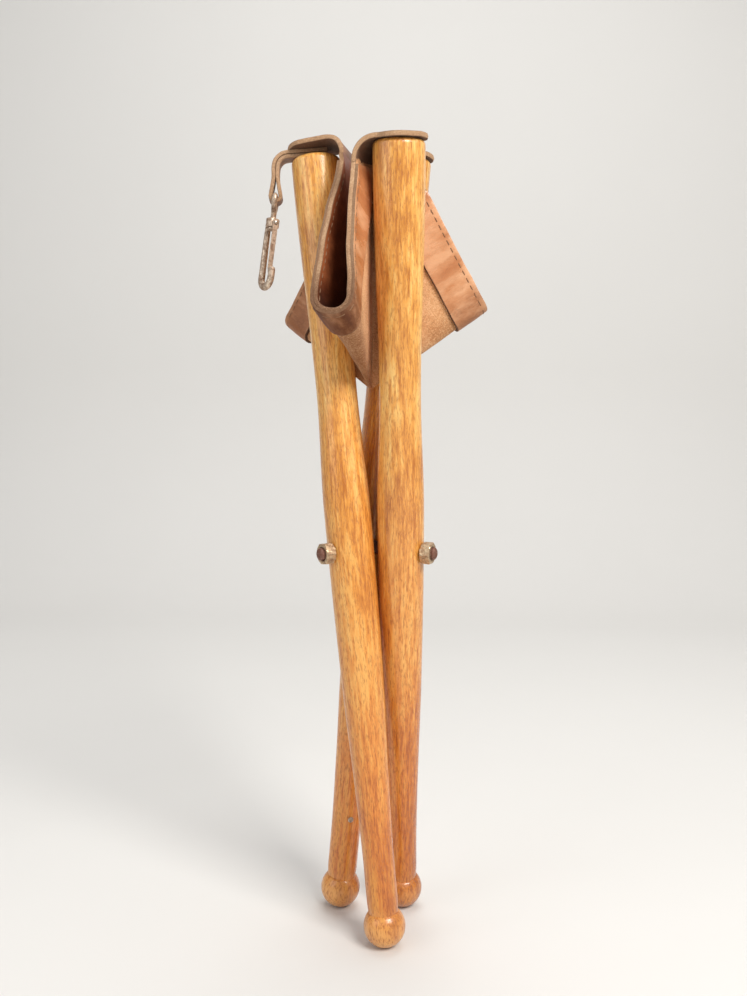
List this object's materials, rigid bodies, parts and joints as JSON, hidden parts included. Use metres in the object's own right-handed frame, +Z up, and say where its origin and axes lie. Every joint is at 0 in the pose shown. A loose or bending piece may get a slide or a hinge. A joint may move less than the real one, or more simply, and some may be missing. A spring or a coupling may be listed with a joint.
{
  "type": "folding campaign stool",
  "caption": "Three-legged folding stool with turned wooden legs on a three-way bolt, a leather triangle seat with sewn edge bands and a strap with a snap hook, shown folded.",
  "frame": {"origin": "middle of the box, on the floor under the three ball feet, folded as stored", "axes": "+Z up along the folded legs, +X to the right and +Y away from the viewer of the picture"},
  "size_m": [0.1738, 0.1618, 0.6078],
  "materials": {
    "honey_hardwood": "oiled and worn, satin gloss",
    "dark_iron": "dark and rusted",
    "seat_leather": "glossy worn grain, suede flesh side",
    "band_leather": "glossy worn grain",
    "strap_leather": "rough cut edge, dark grain",
    "snap_steel": "worn and brown with rust"
  },
  "bodies": {
    "hub": {"three_way_bolt": "dark_iron", "left_nut": "dark_iron", "right_nut": "dark_iron", "back_nut": "dark_iron"},
    "left_leg": {"left_leg": "honey_hardwood", "left_screw": "dark_iron", "left_corner_tab": "seat_leather", "hanging_strap": "strap_leather"},
    "right_leg": {"right_leg": "honey_hardwood", "right_screw": "dark_iron", "right_corner_tab": "seat_leather"},
    "back_leg": {"back_leg": "honey_hardwood", "back_screw": "dark_iron", "back_corner_tab": "seat_leather", "back_nail": "dark_iron"},
    "left_strip": {"left_corner_strip": "seat_leather"},
    "right_strip": {"right_corner_strip": "seat_leather"},
    "back_strip": {"back_corner_strip": "seat_leather"},
    "front_first_flap": {"front_wing_first_flap": "seat_leather", "front_band_first_flap": "band_leather"},
    "front_fold": {"front_wing_fold": "seat_leather", "front_band_fold": "band_leather"},
    "front_second_flap": {"front_wing_second_flap": "seat_leather", "front_band_second_flap": "band_leather"},
    "right_first_flap": {"right_wing_first_flap": "seat_leather", "right_band_first_flap": "band_leather"},
    "right_fold": {"right_wing_fold": "seat_leather", "right_band_fold": "band_leather"},
    "right_second_flap": {"right_wing_second_flap": "seat_leather", "right_band_second_flap": "band_leather"},
    "left_first_flap": {"left_wing_first_flap": "seat_leather", "left_band_first_flap": "band_leather"},
    "left_fold": {"left_wing_fold": "seat_leather", "left_band_fold": "band_leather"},
    "left_second_flap": {"left_wing_second_flap": "seat_leather", "left_band_second_flap": "band_leather"},
    "eye": {"swivel_eye": "snap_steel"},
    "hook": {"hook_body": "snap_steel"},
    "tongue": {"hook_tongue": "snap_steel", "tongue_rivet": "snap_steel"}
  },
  "joints": [
    {"name": "left_leg_fold", "type": "hinge", "parent": "hub", "child": "left_leg", "pos_m": [-0.01498, 0.00254, 0.30099], "axis": [-0.815, -0.5784, -0.0349], "range_deg": [0, 26.27], "deforming": ["left_corner_strip", "right_corner_strip", "back_corner_strip", "front_wing_first_flap", "front_band_first_flap", "front_wing_fold", "front_band_fold", "front_wing_second_flap", "front_band_second_flap", "right_wing_first_flap", "right_band_first_flap", "right_wing_fold", "right_band_fold", "right_wing_second_flap", "right_band_second_flap", "left_wing_first_flap", "left_band_first_flap", "left_wing_fold", "left_band_fold", "left_wing_second_flap", "left_band_second_flap", "left_corner_tab", "right_corner_tab", "back_corner_tab"]},
    {"name": "right_leg_fold", "type": "hinge", "parent": "hub", "child": "right_leg", "pos_m": [0.02295, 0.00613, 0.301], "axis": [0.9091, -0.4151, -0.0343], "range_deg": [0, 29.98]},
    {"name": "back_leg_fold", "type": "hinge", "parent": "hub", "child": "back_leg", "pos_m": [0.00088, 0.03716, 0.3022], "axis": [-0.0943, 0.9953, 0.0205], "range_deg": [0, 30.32]},
    {"name": "left_strip_turn", "type": "hinge", "parent": "left_leg", "child": "left_strip", "pos_m": [-0.04276, 0.02454, 0.58508], "axis": [-0.3877, -0.7952, -0.4662], "range_deg": [0, 63.73]},
    {"name": "right_strip_turn", "type": "hinge", "parent": "right_leg", "child": "right_strip", "pos_m": [0.01772, -0.02883, 0.58511], "axis": [0.6758, 0.2913, -0.6771], "range_deg": [0, 81.07]},
    {"name": "back_strip_turn", "type": "hinge", "parent": "back_leg", "child": "back_strip", "pos_m": [0.02439, 0.03351, 0.58751], "axis": [-0.0897, 0.9945, 0.0535], "range_deg": [0, 58.79]},
    {"name": "front_first_ridge", "type": "hinge", "parent": "left_strip", "child": "front_first_flap", "pos_m": [-0.00088, 0.01098, 0.42337], "axis": [-0.1612, -0.1225, 0.9793], "range_deg": [0, 1.06]},
    {"name": "front_first_roll", "type": "hinge", "parent": "front_first_flap", "child": "front_fold", "pos_m": [-0.00088, 0.01098, 0.42337], "axis": [0.2977, 0.8082, -0.5081], "range_deg": [0, 88.83]},
    {"name": "front_second_roll", "type": "hinge", "parent": "front_fold", "child": "front_second_flap", "pos_m": [-0.00088, 0.01098, 0.42337], "axis": [0.1501, 0.8433, -0.516], "range_deg": [0, 88.83]},
    {"name": "right_first_ridge", "type": "hinge", "parent": "right_strip", "child": "right_first_flap", "pos_m": [-0.00088, 0.01098, 0.42337], "axis": [0.034, -0.1149, 0.9928], "range_deg": [0, 36.72]},
    {"name": "right_first_roll", "type": "hinge", "parent": "right_first_flap", "child": "right_fold", "pos_m": [-0.00088, 0.01098, 0.42337], "axis": [-0.8034, -0.0436, -0.5939], "range_deg": [0, 89.26]},
    {"name": "right_second_roll", "type": "hinge", "parent": "right_fold", "child": "right_second_flap", "pos_m": [-0.00088, 0.01098, 0.42337], "axis": [-0.7902, -0.1239, -0.6002], "range_deg": [0, 89.26]},
    {"name": "left_first_ridge", "type": "hinge", "parent": "back_strip", "child": "left_first_flap", "pos_m": [-0.00088, 0.01098, 0.42337], "axis": [0.0053, -0.277, -0.9609], "range_deg": [0, 45.99]},
    {"name": "left_first_roll", "type": "hinge", "parent": "left_first_flap", "child": "left_fold", "pos_m": [-0.00088, 0.01098, 0.42337], "axis": [0.588, -0.6298, -0.5075], "range_deg": [0, 88.97]},
    {"name": "left_second_roll", "type": "hinge", "parent": "left_fold", "child": "left_second_flap", "pos_m": [-0.00088, 0.01098, 0.42337], "axis": [0.6378, -0.567, -0.5213], "range_deg": [0, 88.97]},
    {"name": "hook_swing", "type": "hinge", "parent": "left_leg", "child": "eye", "pos_m": [-0.07348, 0.02131, 0.56549], "axis": [0.0523, -0.9952, 0.0822], "range_deg": [-70, 16]},
    {"name": "hook_turn", "type": "hinge", "parent": "eye", "child": "hook", "pos_m": [-0.07348, 0.02131, 0.56549], "axis": [0.1186, 0.0879, 0.989], "continuous": true},
    {"name": "tongue_press", "type": "hinge", "parent": "hook", "child": "tongue", "pos_m": [-0.07367, 0.01569, 0.54296], "axis": [0.8132, 0.563, -0.1476], "range_deg": [0, 11], "stiffness_Nm_per_rad": 0.06}
  ],
  "couplings": [
    {"joint": "right_leg_fold", "follows": "left_leg_fold", "ratio": 1.1394},
    {"joint": "back_leg_fold", "follows": "left_leg_fold", "ratio": 1.1524},
    {"joint": "left_strip_turn", "follows": "left_leg_fold", "ratio": 2.4242},
    {"joint": "right_strip_turn", "follows": "left_leg_fold", "ratio": 3.0846},
    {"joint": "back_strip_turn", "follows": "left_leg_fold", "ratio": 2.2363},
    {"joint": "front_first_ridge", "follows": "left_leg_fold", "ratio": 0.038285},
    {"joint": "front_first_roll", "follows": "left_leg_fold", "ratio": 3.38},
    {"joint": "front_second_roll", "follows": "left_leg_fold", "ratio": 3.38},
    {"joint": "right_first_ridge", "follows": "left_leg_fold", "ratio": 1.3959},
    {"joint": "right_first_roll", "follows": "left_leg_fold", "ratio": 3.3964},
    {"joint": "right_second_roll", "follows": "left_leg_fold", "ratio": 3.3964},
    {"joint": "left_first_ridge", "follows": "left_leg_fold", "ratio": 1.749},
    {"joint": "left_first_roll", "follows": "left_leg_fold", "ratio": 3.3854},
    {"joint": "left_second_roll", "follows": "left_leg_fold", "ratio": 3.3854}
  ]
}
